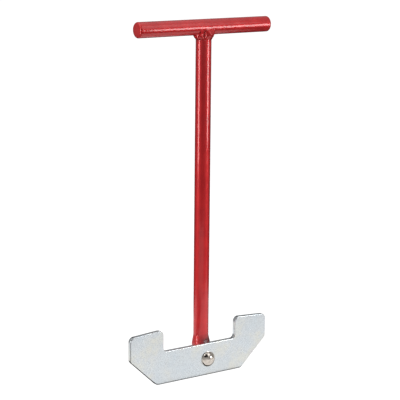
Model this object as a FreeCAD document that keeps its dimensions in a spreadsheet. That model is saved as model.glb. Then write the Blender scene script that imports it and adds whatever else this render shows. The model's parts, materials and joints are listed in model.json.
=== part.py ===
import FreeCAD, Part
import math
import os
import Sketcher

# Hydrant and manhole key: a red T-handle of round steel bar, with a plated hook plate turning on one
# rivet in front of the handle's foot. Millimetres, +Z up. The origin is on the plate's bottom edge, in
# the plate's middle plane and straight below the rivet. The handle stands behind the plate, at +Y.

DIMENSIONS = (
    # name, millimetres, what it is
    ("bar_diameter", 16.0, "round bar of the whole handle"),
    ("grip_length", 160.0, "cross bar, end to end"),
    ("grip_round", 1.8, "rounded edge of both ends of the cross bar"),
    ("grip_height", 360.0, "cross bar's axis above the plate's bottom edge"),
    ("weld_crest", 11.8, "weld's greatest radius, about the stem's axis"),
    ("weld_lip", 8.4, "weld's radius where it runs out on the cross bar"),
    ("weld_toe_drop", 13.0, "weld's lower end below the cross bar's axis"),
    ("weld_crest_drop", 8.4, "weld's crest below the cross bar's axis"),
    ("weld_lip_drop", 2.0, "weld's upper end below the cross bar's axis"),
    ("weld_round", 1.6, "rounding of the weld's crest"),
    ("foot_width", 18.4, "pressed foot of the stem, across"),
    ("foot_rise", 0.3, "foot's front face, proud of the round bar"),
    ("foot_cut", 0.6, "foot's back face, inside the round bar"),
    ("foot_corner", 6.0, "rounding of the foot's section"),
    ("foot_top", 40.5, "height where the round bar starts to turn into the foot"),
    ("foot_shoulder", 32.0, "height where the foot has its full section"),
    ("foot_bottom", 5.0, "height of the foot's lower end"),
    ("foot_bevel", 1.5, "bevel round the foot's lower end"),
    ("plate_thickness", 5.0, "hook plate"),
    ("plate_half", 85.0, "plate's middle to its outer sides"),
    ("base_half", 53.0, "plate's middle to the ends of its flat bottom edge"),
    ("notch_half", 45.0, "plate's middle to the notch's sides"),
    ("slope_top", 29.5, "height where the lower slopes meet the sides"),
    ("notch_floor", 34.0, "height of the notch's floor"),
    ("ear_outside", 54.5, "height of the ears at their outer side"),
    ("ear_inside", 57.0, "height of the ears beside the notch"),
    ("outer_corner", 5.6, "rounding of the outward corners"),
    ("notch_corner", 4.2, "rounding of the notch's inner corners"),
    ("edge_round", 0.9, "rounded edges of the punched plate"),
    ("rivet_height", 17.0, "rivet's axis above the plate's bottom edge"),
    ("rivet_offset", 10.5, "rivet's hole from the plate's middle, to the right"),
    ("rivet_diameter", 10.0, "rivet's shank"),
    ("swivel_clearance", 0.06, "shank to the wall of the plate's hole"),
    ("seat_gap", 0.1, "play on each side of the plate, under the head and at the foot"),
    ("head_diameter", 16.0, "rivet's factory head"),
    ("head_height", 5.6, "rivet's factory head"),
    ("head_rim", 0.8, "straight rim under the head's dome"),
    ("tail_diameter", 15.0, "rivet's closed head, behind the foot"),
    ("tail_height", 3.6, "rivet's closed head"),
)

SHEET = "Dimensions"
BAR_RADIUS = "Dimensions.bar_diameter / 2"
FOOT_FACE = "Dimensions.plate_thickness / 2 + Dimensions.seat_gap"
STEM_DEPTH = FOOT_FACE + " + Dimensions.foot_rise + " + BAR_RADIUS
WIDE_CUT = 60.0

doc = FreeCAD.newDocument("hydrant_key")


def fill_sheet():
    """Put the driving dimensions in a spreadsheet, one named cell each."""
    sheet = doc.addObject("Spreadsheet::Sheet", SHEET)
    for row, (name, value, meaning) in enumerate(DIMENSIONS, start=1):
        sheet.set("A%d" % row, meaning)
        sheet.set("B%d" % row, str(value))
        sheet.setAlias("B%d" % row, name)
    doc.recompute()


def new_body(name):
    """Start a sub-part as a body whose label names its file."""
    body = doc.addObject("PartDesign::Body", name)
    body.Label = name
    return body


def origin_plane(body, role):
    """Find one of a body's own origin planes, such as XY_Plane."""
    for feature in body.Origin.OriginFeatures:
        if feature.Role == role:
            return feature
    raise ValueError("no origin plane " + role)


def new_sketch(body, name, role, offset=None):
    """Lay a sketch on an origin plane, moved along its normal by an expression if one is given."""
    sketch = body.newObject("Sketcher::SketchObject", name)
    sketch.AttachmentSupport = (origin_plane(body, role), [""])
    sketch.MapMode = "FlatFace"
    if offset:
        sketch.setExpression("AttachmentOffset.Base.z", offset)
    return sketch


def bind(sketch, constraint, expression):
    """Add a dimension to a sketch and bind it to the spreadsheet."""
    index = sketch.addConstraint(constraint)
    sketch.setExpression("Constraints[%d]" % index, expression)


def place_point(sketch, geometry, point, across, up):
    """Pin a sketch point at the two expressions; an empty one puts it on that axis."""
    for kind, axis, expression in (("DistanceX", -2, across), ("DistanceY", -1, up)):
        if expression:
            bind(sketch, Sketcher.Constraint(kind, -1, 1, geometry, point, 1.0), expression)
        else:
            sketch.addConstraint(Sketcher.Constraint("PointOnObject", geometry, point, axis))


def draw_circle(sketch, radius, across="", up=""):
    """Draw a circle whose radius and centre follow expressions."""
    circle = sketch.addGeometry(Part.Circle(FreeCAD.Vector(1, 1, 0), FreeCAD.Vector(0, 0, 1), 3), False)
    bind(sketch, Sketcher.Constraint("Radius", circle, 3.0), radius)
    place_point(sketch, circle, 3, across, up)


def draw_outline(sketch, corners, domes=()):
    """Draw a closed outline, counterclockwise, through corners given as pairs of expressions.

    A corner numbered in domes starts an arc centred on the sketch's upright axis, not a line.
    """
    rough = [(evaluate(sketch, across), evaluate(sketch, up)) for across, up in corners]
    pieces = []
    for i, start in enumerate(rough):
        end = rough[(i + 1) % len(rough)]
        if i in domes:
            middle = (start[0] ** 2 + start[1] ** 2 - end[0] ** 2 - end[1] ** 2) / 2 / (start[1] - end[1])
            circle = Part.Circle(FreeCAD.Vector(0, middle, 0), FreeCAD.Vector(0, 0, 1),
                                 math.hypot(start[0], start[1] - middle))
            turns = [math.atan2(y - middle, x) for x, y in (start, end)]
            piece = sketch.addGeometry(Part.ArcOfCircle(circle, *turns))
            sketch.addConstraint(Sketcher.Constraint("PointOnObject", piece, 3, -2))
        else:
            piece = sketch.addGeometry(Part.LineSegment(FreeCAD.Vector(*start, 0), FreeCAD.Vector(*end, 0)))
        pieces.append(piece)
    for i, piece in enumerate(pieces):
        following = pieces[(i + 1) % len(pieces)]
        sketch.addConstraint(Sketcher.Constraint("Coincident", piece, 2, following, 1))
        place_point(sketch, piece, 1, *corners[i])


def evaluate(owner, expression):
    """Work out an expression's value in millimetres, for a sketch's first guess."""
    if not expression:
        return 0.0
    value = owner.evalExpression(expression)
    return float(getattr(value, "Value", value))


def pad(body, sketch, length, midplane=False, down=False):
    """Extrude a sketch by an expression, both ways or downward if asked."""
    feature = body.newObject("PartDesign::Pad", sketch.Name + "_pad")
    feature.Profile = sketch
    feature.setExpression("Length", length)
    feature.Midplane = midplane
    feature.Reversed = down
    return feature


def drill(body, sketch, length):
    """Cut a sketch right through a body, both ways from its plane, and test that it cut."""
    before = body.Shape.Volume
    feature = body.newObject("PartDesign::Pocket", sketch.Name + "_cut")
    feature.Profile = sketch
    feature.Midplane = True
    feature.Length = length
    doc.recompute()
    if feature.Shape.Volume >= before:
        raise ValueError(sketch.Name + " cut nothing")
    return feature


def dress(body, kind, name, size_property, size, chosen):
    """Round or bevel the edges of the body's last feature that a test chooses."""
    doc.recompute()
    base = body.Tip
    edges = ["Edge%d" % i for i, edge in enumerate(base.Shape.Edges, start=1) if chosen(edge)]
    if not edges:
        raise ValueError(name + " found no edges")
    feature = body.newObject(kind, name)
    feature.Base = (base, edges)
    feature.setExpression(size_property, size)
    doc.recompute()
    return feature


def seat(part, across="", depth="", up=""):
    """Move a sub-part to its place in the tool by expressions."""
    for axis, expression in (("x", across), ("y", depth), ("z", up)):
        if expression:
            part.setExpression(".Placement.Base." + axis, expression)


def make_cross_bar():
    """Round bar across the top, its ends rounded off."""
    body = new_body("cross_bar")
    section = new_sketch(body, "bar_section", "YZ_Plane")
    draw_circle(section, BAR_RADIUS)
    pad(body, section, "Dimensions.grip_length", midplane=True)
    dress(body, "PartDesign::Fillet", "bar_ends", "Radius", "Dimensions.grip_round",
          lambda edge: isinstance(edge.Curve, Part.Circle))
    seat(body, depth=STEM_DEPTH, up="Dimensions.grip_height")
    return body


def draw_foot_section(sketch):
    """Draw the foot's rounded section: flat in front, nearly as deep as the bar."""
    half = evaluate(sketch, "Dimensions.foot_width / 2")
    front = -evaluate(sketch, BAR_RADIUS + " + Dimensions.foot_rise")
    back = evaluate(sketch, BAR_RADIUS + " - Dimensions.foot_cut")
    corner = evaluate(sketch, "Dimensions.foot_corner")
    # straight sides in turn: front, right, back, left, with the arcs between them
    sides = (
        ((-half + corner, front), (half - corner, front)),
        ((half, front + corner), (half, back - corner)),
        ((half - corner, back), (-half + corner, back)),
        ((-half, back - corner), (-half, front + corner)),
    )
    centres = ((half - corner, front + corner), (half - corner, back - corner),
               (-half + corner, back - corner), (-half + corner, front + corner))
    quarter = math.pi / 2
    lines = []
    arcs = []
    for i, (start, end) in enumerate(sides):
        segment = Part.LineSegment(FreeCAD.Vector(*start, 0), FreeCAD.Vector(*end, 0))
        lines.append(sketch.addGeometry(segment))
        circle = Part.Circle(FreeCAD.Vector(*centres[i], 0), FreeCAD.Vector(0, 0, 1), corner)
        arcs.append(sketch.addGeometry(Part.ArcOfCircle(circle, (i - 1) * quarter, i * quarter)))
    for i, line in enumerate(lines):
        sketch.addConstraint(Sketcher.Constraint("Tangent", line, 2, arcs[i], 1))
        sketch.addConstraint(Sketcher.Constraint("Tangent", arcs[i], 2, lines[(i + 1) % 4], 1))
        sketch.addConstraint(Sketcher.Constraint("Horizontal" if i % 2 == 0 else "Vertical", line))
    for arc in arcs[1:]:
        sketch.addConstraint(Sketcher.Constraint("Equal", arcs[0], arc))
    bind(sketch, Sketcher.Constraint("Radius", arcs[0], corner), "Dimensions.foot_corner")
    bind(sketch, Sketcher.Constraint("DistanceX", -1, 1, lines[1], 1, half), "Dimensions.foot_width / 2")
    bind(sketch, Sketcher.Constraint("DistanceX", lines[3], 1, -1, 1, half), "Dimensions.foot_width / 2")
    bind(sketch, Sketcher.Constraint("DistanceY", lines[0], 1, -1, 1, -front),
         BAR_RADIUS + " + Dimensions.foot_rise")
    bind(sketch, Sketcher.Constraint("DistanceY", -1, 1, lines[2], 1, back),
         BAR_RADIUS + " - Dimensions.foot_cut")


def make_stem():
    """Upright bar, coped to the cross bar at the top and pressed into a drilled foot at the bottom."""
    body = new_body("stem")
    foot = new_sketch(body, "foot_section", "XY_Plane", "Dimensions.foot_shoulder")
    draw_foot_section(foot)
    doc.recompute()
    pad(body, foot, "Dimensions.foot_shoulder - Dimensions.foot_bottom", down=True)
    doc.recompute()
    shoulder = new_sketch(body, "shoulder_section", "XY_Plane", "Dimensions.foot_shoulder")
    draw_foot_section(shoulder)
    top = new_sketch(body, "shoulder_top", "XY_Plane", "Dimensions.foot_top")
    draw_circle(top, BAR_RADIUS)
    doc.recompute()
    blend = body.newObject("PartDesign::AdditiveLoft", "shoulder")
    blend.Profile = shoulder
    blend.Sections = [top]
    doc.recompute()
    shaft = new_sketch(body, "stem_section", "XY_Plane", "Dimensions.foot_top")
    draw_circle(shaft, BAR_RADIUS)
    pad(body, shaft, "Dimensions.grip_height - Dimensions.foot_top")
    doc.recompute()
    cope = new_sketch(body, "cope", "YZ_Plane")
    draw_circle(cope, BAR_RADIUS, up="Dimensions.grip_height")
    drill(body, cope, WIDE_CUT)
    hole = new_sketch(body, "foot_hole", "XZ_Plane")
    draw_circle(hole, "Dimensions.rivet_diameter / 2", up="Dimensions.rivet_height")
    drill(body, hole, WIDE_CUT)
    bottom = evaluate(body, "Dimensions.foot_bottom")
    dress(body, "PartDesign::Chamfer", "foot_bevel", "Size", "Dimensions.foot_bevel",
          lambda edge: abs(edge.BoundBox.ZMax - bottom) < 0.01)
    seat(body, depth=STEM_DEPTH)
    return body


def make_weld_bead():
    """Weld bead: a ring that fills the corner between the stem and the underside of the cross bar."""
    body = new_body("weld_bead")
    sketch = new_sketch(body, "bead_outline", "XZ_Plane")
    toe = "-Dimensions.weld_toe_drop"
    lip = "-Dimensions.weld_lip_drop"
    corners = [
        (BAR_RADIUS, toe),
        ("Dimensions.weld_crest", "-Dimensions.weld_crest_drop"),
        ("Dimensions.weld_lip", lip),
        (BAR_RADIUS, lip),
    ]
    draw_outline(sketch, corners)
    ring = body.newObject("PartDesign::Revolution", "bead_ring")
    ring.Profile = sketch
    ring.ReferenceAxis = (sketch, ["V_Axis"])
    ring.Angle = 360
    doc.recompute()
    crest = evaluate(body, "Dimensions.weld_crest")
    dress(body, "PartDesign::Fillet", "bead_crest", "Radius", "Dimensions.weld_round",
          lambda edge: isinstance(edge.Curve, Part.Circle) and abs(edge.Curve.Radius - crest) < 0.01)
    bar_space = new_sketch(body, "cross_bar_space", "YZ_Plane")
    draw_circle(bar_space, BAR_RADIUS)
    drill(body, bar_space, WIDE_CUT)
    seat(body, depth=STEM_DEPTH, up="Dimensions.grip_height")
    return body


def corner_test(expressions, owner):
    """Make a test that chooses the upright edges at an outline's corners, left and right alike."""
    spots = [(evaluate(owner, across), evaluate(owner, up)) for across, up in expressions]

    def chosen(edge):
        box = edge.BoundBox
        if box.XLength > 0.01 or box.ZLength > 0.01:
            return False
        return any(abs(abs(box.XMin) - x) < 0.01 and abs(box.ZMin - z) < 0.01 for x, z in spots)

    return chosen


def make_hook_plate():
    """Punched plate with two upward ears round a wide notch, drilled to one side of its middle."""
    body = new_body("hook_plate")
    outline = new_sketch(body, "right_half", "XZ_Plane")
    outward = [
        ("Dimensions.base_half", ""),
        ("Dimensions.plate_half", "Dimensions.slope_top"),
        ("Dimensions.plate_half", "Dimensions.ear_outside"),
        ("Dimensions.notch_half", "Dimensions.ear_inside"),
    ]
    inward = [("Dimensions.notch_half", "Dimensions.notch_floor")]
    draw_outline(outline, [("", "")] + outward + inward + [("", "Dimensions.notch_floor")])
    half = pad(body, outline, "Dimensions.plate_thickness", midplane=True)
    doc.recompute()
    whole = body.newObject("PartDesign::Mirrored", "both_halves")
    whole.Originals = [half]
    whole.MirrorPlane = (origin_plane(body, "YZ_Plane"), [""])
    body.Tip = whole
    whole.Refine = True
    dress(body, "PartDesign::Fillet", "outer_corners", "Radius", "Dimensions.outer_corner",
          corner_test(outward, body))
    dress(body, "PartDesign::Fillet", "notch_corners", "Radius", "Dimensions.notch_corner",
          corner_test(inward, body))
    face = evaluate(body, "Dimensions.plate_thickness / 2")
    dress(body, "PartDesign::Fillet", "punched_edges", "Radius", "Dimensions.edge_round",
          lambda edge: edge.BoundBox.YLength < 0.01 and abs(abs(edge.BoundBox.YMin) - face) < 0.01)
    hole = new_sketch(body, "rivet_hole", "XZ_Plane")
    draw_circle(hole, "Dimensions.rivet_diameter / 2 + Dimensions.swivel_clearance",
                across="Dimensions.rivet_offset", up="Dimensions.rivet_height")
    drill(body, hole, WIDE_CUT)
    seat(body, across="-Dimensions.rivet_offset")
    return body


def make_pivot_rivet():
    """Rivet turned about its axis: domed head in front, shank, and the head closed behind the foot."""
    body = new_body("pivot_rivet")
    sketch = new_sketch(body, "rivet_outline", "XY_Plane")
    shank = "Dimensions.rivet_diameter / 2"
    head = "Dimensions.head_diameter / 2"
    tail = "Dimensions.tail_diameter / 2"
    head_seat = "-(" + FOOT_FACE + ")"
    head_rim = head_seat + " - Dimensions.head_rim"
    head_crown = head_seat + " - Dimensions.head_height"
    tail_seat = STEM_DEPTH + " + " + BAR_RADIUS + " - Dimensions.foot_cut"
    tail_crown = tail_seat + " + Dimensions.tail_height"
    corners = [("", head_crown), (head, head_rim), (head, head_seat), (shank, head_seat),
               (shank, tail_seat), (tail, tail_seat), ("", tail_crown)]
    draw_outline(sketch, corners, domes=(0, 5))
    rivet = body.newObject("PartDesign::Revolution", "turned_rivet")
    rivet.Profile = sketch
    rivet.ReferenceAxis = (sketch, ["V_Axis"])
    rivet.Angle = 360
    seat(body, up="Dimensions.rivet_height")
    return body


def finish(part):
    """Check a sub-part and write its file."""
    shape = part.Shape
    if shape.isNull() or not shape.isValid():
        raise ValueError(part.Label + " has no valid shape")
    shape.exportStep("parts/%s.step" % part.Label)


fill_sheet()
sub_parts = [make_cross_bar(), make_stem(), make_weld_bead(), make_hook_plate(), make_pivot_rivet()]
doc.recompute()
for thing in doc.Objects:
    if "Invalid" in thing.State or "Error" in thing.State:
        raise ValueError(thing.Name + " did not build")
os.makedirs("parts", exist_ok=True)
for sub_part in sub_parts:
    finish(sub_part)
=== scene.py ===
"""Looks of a hydrant key: a red T-handle whose foot carries a zinc-plated hook plate on one rivet.

Every length is in metres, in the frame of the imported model: +Z up along the stem, +X along the cross
bar, -Y from the stem towards the hook plate's front face.
"""

import json
import logging
import math
from dataclasses import dataclass, field
from enum import Enum

import bmesh
import bpy
from mathutils import Matrix, Vector, noise

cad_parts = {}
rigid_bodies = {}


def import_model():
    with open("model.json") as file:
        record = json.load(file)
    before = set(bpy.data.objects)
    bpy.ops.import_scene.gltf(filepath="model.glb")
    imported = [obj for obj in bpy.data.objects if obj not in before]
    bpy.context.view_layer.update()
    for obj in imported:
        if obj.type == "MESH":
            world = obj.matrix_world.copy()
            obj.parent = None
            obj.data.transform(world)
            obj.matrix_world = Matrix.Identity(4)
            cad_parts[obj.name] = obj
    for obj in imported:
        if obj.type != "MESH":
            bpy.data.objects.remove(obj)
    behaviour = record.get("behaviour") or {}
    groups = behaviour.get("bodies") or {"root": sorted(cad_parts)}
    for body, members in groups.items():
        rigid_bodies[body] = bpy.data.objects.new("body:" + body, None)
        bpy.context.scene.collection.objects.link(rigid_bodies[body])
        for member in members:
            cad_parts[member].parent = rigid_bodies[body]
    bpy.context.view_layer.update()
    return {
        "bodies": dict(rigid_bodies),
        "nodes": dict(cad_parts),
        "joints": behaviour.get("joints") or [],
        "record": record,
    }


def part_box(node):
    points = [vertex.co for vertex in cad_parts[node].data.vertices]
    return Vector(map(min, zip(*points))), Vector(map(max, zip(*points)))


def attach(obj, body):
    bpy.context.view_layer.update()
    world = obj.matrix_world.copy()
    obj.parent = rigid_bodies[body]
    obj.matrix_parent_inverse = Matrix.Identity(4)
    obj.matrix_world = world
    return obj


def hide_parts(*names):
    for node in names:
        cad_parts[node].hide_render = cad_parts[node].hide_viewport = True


LOG = logging.getLogger("hydrant_key")
MM = 0.001
AIM_ACROSS = -2.617 * MM
AIM_HEIGHT = 183.433 * MM

TINY = 1e-6

Colour = tuple[float, float, float]
Triple = tuple[float, float, float]
WHITE: Colour = (1.0, 1.0, 1.0)


class Node(Enum):
    """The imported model's nodes, by what they are."""

    CROSS_BAR = "cross_bar"
    STEM = "stem"
    WELD = "weld_bead"
    PLATE = "hook_plate"
    RIVET = "pivot_rivet"


class Body(Enum):
    """The body that the weld's ring rides on."""

    HANDLE = "handle"


class Slot(Enum):
    """A material slot named in the record; nothing in this script uses it."""

    RED = "red_paint"


def opaque(colour: Colour) -> tuple[float, float, float, float]:
    """Give a colour full alpha."""
    return (*colour, 1.0)


@dataclass(frozen=True)
class Mottle:
    """Soft noise that changes a finish from place to place.

    Attributes:
        scale: features per metre.
        detail: octaves.
        low: noise level up to which nothing changes.
        high: noise level from which the change is complete.
        to_low: what a place without the change gets.
        to_high: what a place with the whole change gets.
        roughness: how strong the fine octaves are.
    """

    scale: float
    detail: float
    low: float
    high: float
    to_low: float = 0.0
    to_high: float = 1.0
    roughness: float = 0.5


@dataclass(frozen=True)
class Relief:
    """Soft noise that dents a surface, without changing its outline.

    Attributes:
        scale: dents per metre.
        detail: octaves.
        depth: how deep they are.
        strength: how much of them shows.
    """

    scale: float
    detail: float
    depth: float
    strength: float


@dataclass
class Graph:
    """A material's node tree, with short ways to add and join nodes.

    Attributes:
        name: the material's name.
        material: the material.
        tree: its node tree.
        shader: its Principled shader.
        place: the object's own coordinates.
    """

    name: str
    material: bpy.types.Material = field(init=False)
    tree: bpy.types.NodeTree = field(init=False)
    shader: bpy.types.Node = field(init=False)
    place: bpy.types.NodeSocket = field(init=False)

    def __post_init__(self) -> None:
        """Start the material with a Principled shader and the object's own coordinates."""
        self.material = bpy.data.materials.new(self.name)
        self.material.use_nodes = True
        self.tree = self.material.node_tree
        self.tree.nodes.clear()
        output = self.tree.nodes.new("ShaderNodeOutputMaterial")
        self.shader = self.tree.nodes.new("ShaderNodeBsdfPrincipled")
        self.tree.links.new(self.shader.outputs["BSDF"], output.inputs["Surface"])
        self.place = self.tree.nodes.new("ShaderNodeTexCoord").outputs["Object"]

    def feed(self, socket: bpy.types.NodeSocket, value: object) -> None:
        """Set an input to a value, or link a socket to it.

        Args:
            socket: the input.
            value: its value, or the socket that feeds it.
        """
        if isinstance(value, bpy.types.NodeSocket):
            self.tree.links.new(value, socket)
        else:
            socket.default_value = value

    def add(self, kind: str, **inputs: object) -> bpy.types.Node:
        """Add a node and fill its inputs.

        Args:
            kind: the node type without its ShaderNode prefix.
            **inputs: input names, with _ for a space, and each one's value or the socket that feeds it.

        Returns:
            The new node.
        """
        node = self.tree.nodes.new("ShaderNode" + kind)
        for name, value in inputs.items():
            self.feed(node.inputs[name.replace("_", " ")], value)
        return node

    def finish(self, **inputs: object) -> bpy.types.Material:
        """Fill the shader's inputs.

        Args:
            **inputs: input names, with _ for a space, and each one's value or the socket that feeds it.

        Returns:
            The finished material.
        """
        for name, value in inputs.items():
            self.feed(self.shader.inputs[name.replace("_", " ")], value)
        return self.material

    def stretch(self, scale: Triple) -> bpy.types.NodeSocket:
        """Scale the object's coordinates differently along each axis."""
        return self.add("Mapping", Vector=self.place, Scale=scale).outputs["Vector"]

    def cloud(self, scale: float, detail: float, roughness: float = 0.5,
              place: bpy.types.NodeSocket | None = None) -> bpy.types.NodeSocket:
        """Add soft noise.

        Args:
            scale: features per metre.
            detail: octaves.
            roughness: how strong the fine octaves are.
            place: coordinates, if not the object's own.

        Returns:
            The noise's factor, 0 to 1.
        """
        node = self.add("TexNoise", Vector=place or self.place, Scale=scale, Detail=detail,
                        Roughness=roughness)
        return node.outputs["Fac"]

    def span(self, value: bpy.types.NodeSocket, low: float, high: float, to_low: float = 0.0,
             to_high: float = 1.0) -> bpy.types.NodeSocket:
        """Stretch a value from one range to another, clamped.

        Args:
            value: the value.
            low: where its range starts.
            high: where its range ends.
            to_low: what it becomes where its range starts.
            to_high: what it becomes where its range ends.

        Returns:
            The stretched value.
        """
        node = self.add("MapRange", Value=value, From_Min=low, From_Max=high, To_Min=to_low,
                        To_Max=to_high)
        return node.outputs["Result"]

    def mottle(self, mottle: Mottle) -> bpy.types.NodeSocket:
        """Add noise that says how far a finish changes at each place."""
        noisy = self.cloud(mottle.scale, mottle.detail, mottle.roughness)
        return self.span(noisy, mottle.low, mottle.high, mottle.to_low, mottle.to_high)

    def product(self, first: bpy.types.NodeSocket, second: bpy.types.NodeSocket) -> bpy.types.NodeSocket:
        """Multiply two values.

        Args:
            first: one value.
            second: the other.

        Returns:
            Their product.
        """
        node = self.tree.nodes.new("ShaderNodeMath")
        node.operation = "MULTIPLY"
        self.feed(node.inputs[0], first)
        self.feed(node.inputs[1], second)
        return node.outputs["Value"]

    def blend(self, amount: bpy.types.NodeSocket, first: object, second: object) -> bpy.types.NodeSocket:
        """Mix two colours.

        Args:
            amount: 0 for the first colour, 1 for the second.
            first: a colour, or the socket that feeds it.
            second: a colour, or the socket that feeds it.

        Returns:
            The mixed colour.
        """
        node = self.tree.nodes.new("ShaderNodeMix")
        node.data_type = "RGBA"
        self.feed(node.inputs["Factor"], amount)
        first_colour, second_colour = (socket for socket in node.inputs if socket.type == "RGBA")
        self.feed(first_colour, first)
        self.feed(second_colour, second)
        return next(socket for socket in node.outputs if socket.type == "RGBA")

    def ramp(self, value: bpy.types.NodeSocket, stops: list[tuple[float, Colour]]) -> bpy.types.NodeSocket:
        """Turn a value into a colour.

        Args:
            value: the value, 0 to 1.
            stops: each stop's value and colour, in rising order.

        Returns:
            The colour.
        """
        node = self.add("ValToRGB", Fac=value)
        band = node.color_ramp
        while len(band.elements) < len(stops):
            band.elements.new(1.0)
        for element, (position, colour) in zip(band.elements, stops):
            element.position = position
            element.color = opaque(colour)
        return node.outputs["Color"]

    def bump(self, relief: Relief, under: bpy.types.NodeSocket | None = None,
             place: bpy.types.NodeSocket | None = None) -> bpy.types.NodeSocket:
        """Add relief, on top of another relief's normal if one is given.

        Args:
            relief: the relief.
            under: the normal below it.
            place: coordinates, if not the object's own.

        Returns:
            The bent normal.
        """
        height = self.cloud(relief.scale, relief.detail, place=place)
        node = self.add("Bump", Height=height, Distance=relief.depth, Strength=relief.strength)
        if under is not None:
            self.feed(node.inputs["Normal"], under)
        return node.outputs["Normal"]


@dataclass(frozen=True)
class RedEnamel:
    """Red enamel with a faint metal sheen under a clear gloss, with an orange-peel skin, and painted shade
    darkening the foot above the hook plate.

    Attributes:
        name: the material's name.
        coat: its colour.
        thick: its colour where the coat is thick.
        thin: its colour where the coat is thin.
        drift: patches from the thick colour to the plain one.
        specks: small thin spots.
        sheen: how much of the colour reflects as metal.
        dull: roughness of the colour coat.
        gloss: roughness of the clear skin.
        peel: orange-peel dimples.
        sag: long sags of the wet coat.
        foot_shade_colour: colour of the painted shade on the foot, above the hook plate.
        foot_shade_patches: how much of the coat the painted shade hides, patch by patch.
        foot_shade_top: height where the painted shade begins.
        foot_shade_full: height where it is darkest.
        foot_shade_left: place along the bar up to which the foot is barely shaded.
        foot_shade_right: place along the bar from which it is fully shaded.
        lit_side_shade_share: share of the painted shade on the barely shaded side.
    """

    name: str = "red_enamel"
    coat: Colour = (0.82, 0.026, 0.030)
    thick: Colour = (0.70, 0.018, 0.024)
    thin: Colour = (0.90, 0.038, 0.036)
    drift: Mottle = Mottle(scale=60.0, detail=4.0, low=0.35, high=0.65)
    specks: Mottle = Mottle(scale=900.0, detail=2.0, low=0.48, high=0.75, to_high=0.5)
    sheen: float = 0.6
    dull: Mottle = Mottle(scale=160.0, detail=3.0, low=0.3, high=0.7, to_low=0.45, to_high=0.58)
    gloss: float = 0.11
    peel: Relief = Relief(scale=420.0, detail=1.5, depth=0.12 * MM, strength=0.5)
    sag: Relief = Relief(scale=70.0, detail=1.0, depth=0.6 * MM, strength=0.30)
    foot_shade_colour: Colour = (0.12, 0.004, 0.006)
    foot_shade_patches: Mottle = Mottle(scale=380.0, detail=3.0, low=0.35, high=0.6, to_low=0.70)
    foot_shade_top: float = 43.0 * MM
    foot_shade_full: float = 36.0 * MM
    foot_shade_left: float = -6.5 * MM
    foot_shade_right: float = -1.5 * MM
    lit_side_shade_share: float = 0.12

    def build(self) -> bpy.types.Material:
        """Make the enamel's nodes.

        Returns:
            The enamel.
        """
        graph = Graph(self.name)
        coat = graph.blend(graph.mottle(self.drift), opaque(self.thick), opaque(self.coat))
        tone = graph.blend(graph.mottle(self.specks), coat, opaque(self.thin))
        # Painted shade: the foot just above the hook plate is darkened in patches, most on its right side.
        shaded_tone = graph.blend(self.painted_foot_shade(graph), tone, opaque(self.foot_shade_colour))
        skin = graph.bump(self.sag, under=graph.bump(self.peel))
        return graph.finish(Base_Color=shaded_tone, Metallic=self.sheen, Roughness=graph.mottle(self.dull),
                            Coat_Weight=1.0, Coat_Roughness=self.gloss, Normal=skin, Coat_Normal=skin)

    def painted_foot_shade(self, graph: Graph) -> bpy.types.NodeSocket:
        """Find where the foot above the hook plate gets painted shade, darker low down and on its right.

        Args:
            graph: the enamel's node tree.

        Returns:
            How much of the coat the painted shade hides, 0 to 1.
        """
        # Painted shade: full below one height, fading out above it, and weak on the left of the stem.
        split = graph.add("SeparateXYZ", Vector=graph.place).outputs
        low = graph.span(split["Z"], self.foot_shade_top, self.foot_shade_full)
        right = graph.span(split["X"], self.foot_shade_left, self.foot_shade_right, to_low=self.lit_side_shade_share)
        return graph.product(graph.product(low, right), graph.mottle(self.foot_shade_patches))


@dataclass(frozen=True)
class ZincPlating:
    """Clear-passivated zinc over punched sheet: pale grey, with faint blue, yellow and pink clouds.

    Attributes:
        name: the material's name.
        tints: the passivation's colours, from one side of the noise to the other.
        cloud_scale: clouds of colour per metre.
        cloud_detail: octaves of the clouds.
        cloud_roughness: how strong their fine octaves are.
        first_cloud: noise level of the first tint.
        cloud_span: noise from the first tint to the last.
        crystal: colour of the darker zinc crystals.
        crystals: where they are, and how much of the tint they hide.
        haze: roughness of the plated face.
        stretch: rolling marks per metre, along the sheet and across it.
        rolling: how the rolling marks look once stretched.
        waves: the sheet's waves.
    """

    name: str = "clear_zinc"
    tints: tuple[Colour, ...] = (
        (0.77, 0.85, 0.91),
        (0.82, 0.88, 0.92),
        (0.85, 0.89, 0.91),
        (0.92, 0.92, 0.85),
        (0.90, 0.86, 0.88),
    )
    cloud_scale: float = 26.0
    cloud_detail: float = 5.0
    cloud_roughness: float = 0.6
    first_cloud: float = 0.33
    cloud_span: float = 0.34
    crystal: Colour = (0.56, 0.59, 0.62)
    crystals: Mottle = Mottle(scale=1100.0, detail=3.0, low=0.44, high=0.68, to_high=0.7, roughness=0.65)
    haze: Mottle = Mottle(scale=55.0, detail=5.0, low=0.3, high=0.7, to_low=0.21, to_high=0.37)
    stretch: Triple = (160.0, 1200.0, 1200.0)
    rolling: Relief = Relief(scale=1.0, detail=3.0, depth=0.03 * MM, strength=0.2)
    waves: Relief = Relief(scale=90.0, detail=2.0, depth=0.3 * MM, strength=0.22)

    def build(self) -> bpy.types.Material:
        """Make the plating's nodes.

        Returns:
            The plating.
        """
        graph = Graph(self.name)
        clouds = graph.cloud(self.cloud_scale, self.cloud_detail, self.cloud_roughness)
        step = self.cloud_span / (len(self.tints) - 1)
        stops = [(self.first_cloud + step * i, tint) for i, tint in enumerate(self.tints)]
        speckled = graph.blend(graph.mottle(self.crystals), graph.ramp(clouds, stops), opaque(self.crystal))
        grain = graph.bump(self.rolling, place=graph.stretch(self.stretch))
        return graph.finish(Base_Color=speckled, Metallic=1.0, Roughness=graph.mottle(self.haze),
                            Normal=graph.bump(self.waves, under=grain))


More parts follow.
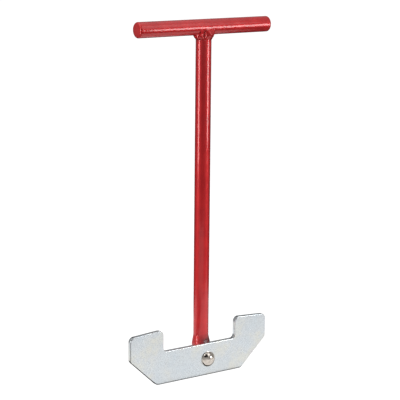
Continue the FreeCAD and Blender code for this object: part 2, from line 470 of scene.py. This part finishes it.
@dataclass(frozen=True)
class BrightNickel:
    """Warm bright nickel on the rivet, slightly hammered where it was closed.

    Attributes:
        name: the material's name.
        metal: its colour.
        dark: its colour in the tarnished spots.
        stain: where the tarnished spots are.
        wear: roughness of the polished dome.
        dents: marks of the hammer.
    """

    name: str = "bright_nickel"
    metal: Colour = (0.80, 0.73, 0.66)
    dark: Colour = (0.62, 0.55, 0.48)
    stain: Mottle = Mottle(scale=420.0, detail=4.0, low=0.42, high=0.72)
    wear: Mottle = Mottle(scale=900.0, detail=3.0, low=0.35, high=0.7, to_low=0.09, to_high=0.21)
    dents: Relief = Relief(scale=330.0, detail=2.0, depth=0.2 * MM, strength=0.35)

    def build(self) -> bpy.types.Material:
        """Make the nickel's nodes.

        Returns:
            The nickel.
        """
        graph = Graph(self.name)
        metal = graph.blend(graph.mottle(self.stain), opaque(self.metal), opaque(self.dark))
        return graph.finish(Base_Color=metal, Metallic=1.0, Roughness=graph.mottle(self.wear),
                            Normal=graph.bump(self.dents))


@dataclass(frozen=True)
class PaleSurface:
    """Matt studio board with a light of its own.

    Attributes:
        name: the material's name.
        white: how much light it gives back.
        glow: how much light it gives off.
        roughness: of its face.
    """

    name: str
    white: float
    glow: float
    roughness: float = 0.9

    def build(self) -> bpy.types.Material:
        """Make the board's nodes.

        Returns:
            The board's finish.
        """
        grey = opaque((self.white, self.white, self.white))
        return Graph(self.name).finish(Base_Color=grey, Roughness=self.roughness, Specular_IOR_Level=0.0,
                                       Emission_Color=opaque(WHITE), Emission_Strength=self.glow)


def coat_node(frame: dict, node: Node, material: bpy.types.Material) -> bpy.types.Object:
    """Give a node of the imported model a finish.

    Args:
        node: which node.
        material: its finish.

    Returns:
        The node's object.
    """
    piece = frame["nodes"][node.value]
    if not piece.material_slots:
        piece.data.materials.append(material)
    for slot in piece.material_slots:
        slot.material = material
    return piece


@dataclass(frozen=True)
class Lobe:
    """A swelling of the weld, or a hollow in it.

    Attributes:
        middle: degrees round the stem from the front, positive to the left.
        spread: degrees from its middle to where most of it is gone.
        height: out from the bead, less than 0 for a hollow.
    """

    middle: float
    spread: float
    height: float

    def swell(self, turn: float) -> float:
        """Find its height at an angle round the stem, in radians."""
        apart = math.remainder(turn - math.radians(self.middle), 2 * math.pi)
        return self.height * math.exp(-(apart / math.radians(self.spread)) ** 2)


@dataclass
class WeldBead:
    """The weld between the stem and the cross bar: a rippled ring, lumpy in front.

    Attributes:
        steps: points round the bead.
        rows: points across it, from its toe on the stem to its lip on the bar.
        toe_drop: its toe below the bar's axis.
        wander: how far the toe strays up and down.
        wander_scale: how often it strays.
        wander_slice: which slice of the noise it follows.
        side_reach: its lip from the stem's axis, at the stem's sides.
        front_lip: how far in front it climbs the bar, as a share of the bar's radius.
        sunk: how far its hidden back lies inside the bars.
        side_bulge: how round it is at the stem's sides.
        front_bulge: how much rounder it is in front.
        front_falloff: how quickly that fades towards the sides.
        front_turn: degrees from the front to its roundest place, to the right.
        toe_share: share of its width over which it rises from the stem.
        ripples: ripples left by the weaving rod, round half of it.
        ripple_height: how high they are.
        ripple_drift: how unevenly they are spaced.
        ripple_lean: how far they lean from the toe to the lip.
        lump_height: how high its lumps are.
        lumps_round: how close they are round the bead.
        lumps_across: how close they are across it.
        lobes: its swellings and hollows.
        radius: of the cross bar and the stem.
        centre: middle of the cross bar.
    """

    steps: int = 240
    rows: int = 22
    toe_drop: float = 12.8 * MM
    wander: float = 0.8 * MM
    wander_scale: float = 2.6
    wander_slice: float = 0.3
    side_reach: float = 11.6 * MM
    front_lip: float = 0.975
    sunk: float = 0.25 * MM
    side_bulge: float = 0.35 * MM
    front_bulge: float = 1.3 * MM
    front_falloff: float = 3.0
    front_turn: float = 12.0
    toe_share: float = 0.35
    ripples: int = 13
    ripple_height: float = 0.20 * MM
    ripple_drift: float = 1.2
    ripple_lean: float = 1.1
    lump_height: float = 0.60 * MM
    lumps_round: float = 4.0
    lumps_across: float = 2.4
    lobes: tuple[Lobe, ...] = (
        Lobe(middle=-8.0, spread=22.0, height=1.4 * MM),
        Lobe(middle=31.0, spread=12.5, height=-2.7 * MM),
        Lobe(middle=67.0, spread=15.0, height=1.0 * MM),
        Lobe(middle=-62.0, spread=15.0, height=-1.2 * MM),
        Lobe(middle=128.0, spread=14.0, height=-1.5 * MM),
    )
    radius: float = field(init=False)
    centre: Vector = field(init=False)

    def __post_init__(self) -> None:
        """Read the cross bar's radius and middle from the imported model."""
        low, high = (Vector(corner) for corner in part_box(Node.CROSS_BAR.value))
        self.radius = (high.z - low.z) / 2
        self.centre = (low + high) / 2

    def rise(self, depth: float) -> float:
        """Find how far the bar's surface is from the plane of its axis, this far in front of the axis."""
        return math.sqrt(self.radius ** 2 - depth ** 2)

    def lip(self, turn: float) -> Vector:
        """Find where the bead runs out on the cross bar.

        Args:
            turn: angle round the stem's axis from the front, in radians.

        Returns:
            Its radius in x and its height above the bar's axis in z.
        """
        across = self.front_lip * self.radius
        front = abs(math.cos(turn))
        reach = min(self.side_reach, across / max(front, TINY))
        return Vector((reach, 0.0, -self.rise(min(reach * front, across))))

    def relief(self, turn: float, row: float) -> float:
        """Find how far the bead stands out from the straight line between its toe and its lip.

        Args:
            turn: angle round the stem's axis from the front, in radians.
            row: 0 at the toe on the stem, 1 at the lip on the cross bar.

        Returns:
            The distance.
        """
        front = abs(math.cos(turn + math.radians(self.front_turn)))
        bulge = self.side_bulge + self.front_bulge * front ** self.front_falloff
        bulge += sum(lobe.swell(turn) for lobe in self.lobes)
        weave = turn * self.ripples + self.ripple_drift * math.sin(2 * turn) + self.ripple_lean * row
        ripple = self.ripple_height * abs(math.sin(weave))
        around = Vector((math.sin(turn), math.cos(turn), 0.0)) * self.lumps_round
        lump = self.lump_height * noise.noise(around + Vector((0.0, 0.0, row * self.lumps_across)))
        start = min(1.0, row / self.toe_share)
        ease = start * start * (3 - 2 * start)
        return math.sin(math.pi * row) * ease * (bulge + ripple + lump)

    def section(self, turn: float) -> list[Vector]:
        """Find the bead's outline at an angle round the stem, skin first and hidden back last.

        Args:
            turn: angle round the stem's axis from the front, in radians.

        Returns:
            Its points, with their radius in x and their height above the bar's axis in z.
        """
        spot = Vector((math.sin(turn), math.cos(turn), self.wander_slice)) * self.wander_scale
        toe = Vector((self.radius, 0.0, -self.toe_drop + self.wander * noise.noise(spot)))
        lip = self.lip(turn)
        chord = lip - toe
        outward = Vector((-chord.z, 0.0, chord.x)).normalized()
        outward = outward if outward.x > 0 else -outward
        shares = [row / (self.rows - 1) for row in range(self.rows)]
        points = [toe.lerp(lip, share) + outward * self.relief(turn, share) for share in shares]
        corner = self.rise(min(self.radius * abs(math.cos(turn)), self.front_lip * self.radius))
        points.append(Vector((lip.x - self.sunk, 0.0, lip.z + self.sunk)))
        points.append(Vector((self.radius - self.sunk, 0.0, -corner + self.sunk)))
        points.append(Vector((self.radius - self.sunk, 0.0, toe.z)))
        return points

    def build(self, enamel: bpy.types.Material) -> bpy.types.Object:
        """Build the bead as a closed ring whose back lies just inside the bars.

        Args:
            enamel: its finish.

        Returns:
            The ring.
        """
        mesh = bmesh.new()
        rings = []
        for step in range(self.steps):
            turn = 2 * math.pi * step / self.steps
            around = Vector((-math.sin(turn), -math.cos(turn), 0.0))
            rings.append([mesh.verts.new(self.centre + around * point.x + Vector((0.0, 0.0, point.z)))
                          for point in self.section(turn)])
        for ring, following in zip(rings, rings[1:] + rings[:1]):
            for i, corner in enumerate(ring):
                after = (i + 1) % len(ring)
                mesh.faces.new((corner, ring[after], following[after], following[i]))
        bmesh.ops.recalc_face_normals(mesh, faces=mesh.faces)
        data = bpy.data.meshes.new("weld_ripples")
        mesh.to_mesh(data)
        mesh.free()
        data.shade_smooth()
        data.materials.append(enamel)
        bead = bpy.data.objects.new("weld_ripples", data)
        bpy.context.scene.collection.objects.link(bead)
        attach(bead, Body.HANDLE.value)
        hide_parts(Node.WELD.value)
        return bead


@dataclass
class Handle:
    """The painted T-handle: cross bar, stem and the weld between them.

    Attributes:
        enamel: the handle's finish.
        weld: the bead between its bars.
    """

    frame: dict
    enamel: bpy.types.Material
    weld: WeldBead = field(default_factory=WeldBead)

    def build(self) -> list[bpy.types.Object]:
        """Coat the two bars and build the weld bead.

        Returns:
            The handle's three pieces.
        """
        bars = [coat_node(self.frame, node, self.enamel) for node in (Node.CROSS_BAR, Node.STEM)]
        return [*bars, self.weld.build(self.enamel)]


@dataclass
class Hook:
    """The hook plate and the rivet that it turns on.

    Attributes:
        zinc: the plate's finish.
        nickel: the rivet's finish.
    """

    frame: dict
    zinc: bpy.types.Material
    nickel: bpy.types.Material

    def build(self) -> list[bpy.types.Object]:
        """Coat the plate and the rivet."""
        finishes = ((Node.PLATE, self.zinc), (Node.RIVET, self.nickel))
        return [coat_node(self.frame, node, finish) for node, finish in finishes]


def lay_board(name: str, corners: list[Triple], finish: PaleSurface) -> bpy.types.Object:
    """Add a flat board to the studio.

    Args:
        name: its name.
        corners: its corners, in turn.
        finish: its finish.

    Returns:
        The board.
    """
    data = bpy.data.meshes.new(name)
    data.from_pydata(corners, [], [tuple(range(len(corners)))])
    data.materials.append(finish.build())
    board = bpy.data.objects.new(name, data)
    bpy.context.scene.collection.objects.link(board)
    return board


def keep_out_of_sight(board: bpy.types.Object) -> None:
    """Let only the object mirror a board."""
    board.visible_camera = False
    board.visible_shadow = False


@dataclass(frozen=True)
class Floor:
    """The wide pale floor that the object stands on.

    Attributes:
        radius: from the origin to its rim.
        sides: corners of its rim.
        drop: how far it lies below the object.
        finish: its finish.
    """

    radius: float = 30.0
    sides: int = 96
    drop: float = 0.2 * MM
    finish: PaleSurface = PaleSurface("floor_board", white=0.40, glow=0.95)

    def build(self) -> None:
        """Lay the floor."""
        turns = [2 * math.pi * i / self.sides for i in range(self.sides)]
        rim = [(self.radius * math.cos(turn), self.radius * math.sin(turn), -self.drop) for turn in turns]
        floor = lay_board("floor", rim, self.finish)
        floor.visible_diffuse = False
        floor.visible_glossy = False


@dataclass(frozen=True)
class Reflector:
    """A pale board on the floor that the object mirrors.

    Attributes:
        name: its name.
        low: its corner with the lowest x and y.
        high: its corner with the highest x and y.
        glow: how pale it is.
        drop: how far it lies below the object.
    """

    name: str
    low: tuple[float, float]
    high: tuple[float, float]
    glow: float = 0.86
    drop: float = 0.4 * MM

    def build(self) -> None:
        """Lay the board."""
        (left, front), (right, back) = self.low, self.high
        rim = ((left, front), (right, front), (right, back), (left, back))
        corners = [(x, y, -self.drop) for x, y in rim]
        finish = PaleSurface(self.name, white=0.0, glow=self.glow)
        keep_out_of_sight(lay_board(self.name, corners, finish))


@dataclass(frozen=True)
class Hanging:
    """Something square that hangs in the studio and faces a point.

    Attributes:
        name: its name.
        bearing: degrees from the front, positive to the right.
        height: degrees above the point that it faces.
        distance: metres from that point.
        size: its width and height in metres.
        glow: brightness of its face, where a white board in full light has 1.
    """

    name: str
    bearing: float
    height: float
    distance: float
    size: tuple[float, float]
    glow: float

    def away(self) -> Vector:
        """Find the direction to it from the point that it faces."""
        side, up = math.radians(self.bearing), math.radians(self.height)
        return Vector((math.sin(side) * math.cos(up), -math.cos(side) * math.cos(up), math.sin(up)))


@dataclass(frozen=True)
class SoftBox(Hanging):
    """A square studio light."""

    def build(self, aim: Vector) -> None:
        """Hang the light.

        Args:
            aim: the point that it faces.
        """
        width, height = self.size
        data = bpy.data.lights.new(self.name, "AREA")
        data.shape = "RECTANGLE"
        data.size = width
        data.size_y = height
        data.energy = self.glow * math.pi * width * height
        lamp = bpy.data.objects.new(self.name, data)
        lamp.location = aim + self.away() * self.distance
        lamp.rotation_euler = self.away().to_track_quat("Z", "Y").to_euler()
        bpy.context.scene.collection.objects.link(lamp)


@dataclass(frozen=True)
class Card(Hanging):
    """A black or pale card that the object mirrors between the lights."""

    def build(self, aim: Vector) -> None:
        """Hang the card.

        Args:
            aim: the point that it faces.
        """
        side = math.radians(self.bearing)
        across = Vector((math.cos(side), math.sin(side), 0.0)) * self.size[0] / 2
        upright = self.away().cross(across).normalized() * self.size[1] / 2
        centre = aim + self.away() * self.distance
        signs = ((-1, -1), (1, -1), (1, 1), (-1, 1))
        corners = [tuple(centre + across * i + upright * j) for i, j in signs]
        finish = PaleSurface(self.name, white=0.0, glow=self.glow)
        keep_out_of_sight(lay_board(self.name, corners, finish))


@dataclass(frozen=True)
class Room:
    """The room's own light, dim from below the table and brighter from above.

    Attributes:
        name: its name.
        low_light: its brightness from below.
        high_light: its brightness from above.
        low_rise: upward part of the direction where it starts to get brighter.
        high_rise: upward part of the direction where it is brightest.
    """

    name: str = "studio_room"
    low_light: float = 0.03
    high_light: float = 0.31
    low_rise: float = -0.16
    high_rise: float = -0.02

    def build(self) -> None:
        """Fill the scene with the room's light."""
        world = bpy.data.worlds.new(self.name)
        world.use_nodes = True
        nodes, links = world.node_tree.nodes, world.node_tree.links
        nodes.clear()
        output = nodes.new("ShaderNodeOutputWorld")
        room = nodes.new("ShaderNodeBackground")
        room.inputs["Color"].default_value = opaque(WHITE)
        direction = nodes.new("ShaderNodeTexCoord")
        parts = nodes.new("ShaderNodeSeparateXYZ")
        rise = nodes.new("ShaderNodeMapRange")
        limits = {"From Min": self.low_rise, "From Max": self.high_rise, "To Min": self.low_light,
                  "To Max": self.high_light}
        for name, limit in limits.items():
            rise.inputs[name].default_value = limit
        links.new(direction.outputs["Generated"], parts.inputs["Vector"])
        links.new(parts.outputs["Z"], rise.inputs["Value"])
        links.new(rise.outputs["Result"], room.inputs["Strength"])
        links.new(room.outputs["Background"], output.inputs["Surface"])
        bpy.context.scene.world = world
        bpy.context.scene.view_settings.view_transform = "Standard"


@dataclass(frozen=True)
class Viewpoint:
    """The camera, placed by where it stands round the object.

    Attributes:
        bearing: degrees from the front to the left.
        height: degrees that it looks down.
        roll: degrees that it is tipped.
        distance: metres from the point that it looks at.
        focal: focal length in millimetres.
        sensor: width of its sensor in millimetres.
        nearest: nearest metres that it sees.
        farthest: farthest metres that it sees.
    """

    bearing: float = 35.417
    height: float = 11.403
    roll: float = 0.529
    distance: float = 1.544787
    focal: float = 135.855
    sensor: float = 36.0
    nearest: float = 0.05
    farthest: float = 50.0

    def axes(self) -> tuple[Vector, Vector, Vector]:
        """Find the camera's directions.

        Returns:
            Ahead, right and up.
        """
        side, down, tip = (math.radians(angle) for angle in (self.bearing, self.height, self.roll))
        ahead = Vector((math.sin(side) * math.cos(down), math.cos(side) * math.cos(down), -math.sin(down)))
        right = Vector((math.cos(side), -math.sin(side), 0.0))
        above = right.cross(ahead)
        tipped_right = right * math.cos(tip) + above * math.sin(tip)
        tipped_above = above * math.cos(tip) - right * math.sin(tip)
        return ahead, tipped_right, tipped_above

    def build(self, aim: Vector) -> None:
        """Stand the camera and choose it for the scene.

        Args:
            aim: the point that it looks at.
        """
        ahead, right, above = self.axes()
        data = bpy.data.cameras.new("studio_camera")
        data.lens = self.focal
        data.sensor_width = self.sensor
        data.clip_start = self.nearest
        data.clip_end = self.farthest
        camera = bpy.data.objects.new("studio_camera", data)
        spot = aim - ahead * self.distance
        camera.matrix_world = Matrix((
            (right.x, above.x, -ahead.x, spot.x),
            (right.y, above.y, -ahead.y, spot.y),
            (right.z, above.z, -ahead.z, spot.z),
            (0.0, 0.0, 0.0, 1.0),
        ))
        bpy.context.scene.collection.objects.link(camera)
        bpy.context.scene.camera = camera


@dataclass
class Studio:
    """The pale floor, the soft light round the object, and the camera.

    Attributes:
        aim: the middle of the object.
        floor: the floor that is seen.
        reflectors: the pale boards on the floor.
        cards: the cards that hang between the lights.
        room: the room's own light.
        boxes: the studio lights.
        view: where the camera stands.
    """

    aim: Vector
    floor: Floor = Floor()
    reflectors: tuple[Reflector, ...] = (
        Reflector("bounce_front", low=(-0.15, -0.32), high=(0.32, -0.006)),
        Reflector("bounce_back", low=(-0.30, 0.05), high=(0.30, 0.24)),
    )
    cards: tuple[Card, ...] = (
        Card("black_card_front", bearing=-40.0, height=44.0, distance=0.9, size=(0.95, 0.86), glow=0.0),
        Card("black_card_back", bearing=167.0, height=33.0, distance=0.9, size=(0.45, 0.40), glow=0.0),
        Card("pale_card_low", bearing=-40.0, height=-24.7, distance=0.33, size=(0.45, 0.10), glow=0.50),
    )
    room: Room = Room()
    boxes: tuple[SoftBox, ...] = (
        SoftBox("right_box", bearing=38.0, height=4.5, distance=0.8, size=(0.24, 0.26), glow=7.2),
        SoftBox("left_box", bearing=-98.0, height=5.0, distance=0.8, size=(0.28, 0.36), glow=6.0),
        SoftBox("top_box", bearing=0.0, height=86.0, distance=0.9, size=(1.2, 1.2), glow=0.40),
        SoftBox("upper_left_box", bearing=-88.0, height=52.0, distance=0.9, size=(0.5, 0.4), glow=1.8),
        SoftBox("upper_right_box", bearing=24.0, height=44.0, distance=0.8, size=(0.50, 0.42), glow=0.9),
    )
    view: Viewpoint = Viewpoint()

    def build(self) -> None:
        """Lay the boards, hang the cards and the lights, and stand the camera."""
        self.floor.build()
        for reflector in self.reflectors:
            reflector.build()
        for card in self.cards:
            card.build(self.aim)
        self.room.build()
        for box in self.boxes:
            box.build(self.aim)
        self.view.build(self.aim)


def main() -> None:
    """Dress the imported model, light it and report each piece."""
    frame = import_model()
    bar_low, bar_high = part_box(Node.CROSS_BAR.value)
    handle = Handle(frame, RedEnamel().build())
    hook = Hook(frame, ZincPlating().build(), BrightNickel().build())
    for part in (handle, hook):
        for piece in part.build():
            LOG.info("%s has %d faces", piece.name, len(piece.data.polygons))
    Studio(Vector((AIM_ACROSS, (bar_low[1] + bar_high[1]) / 2, AIM_HEIGHT))).build()
    bpy.context.view_layer.update()


if __name__ == "__main__":
    logging.basicConfig(level=logging.INFO, format="%(name)s: %(message)s")
    main()
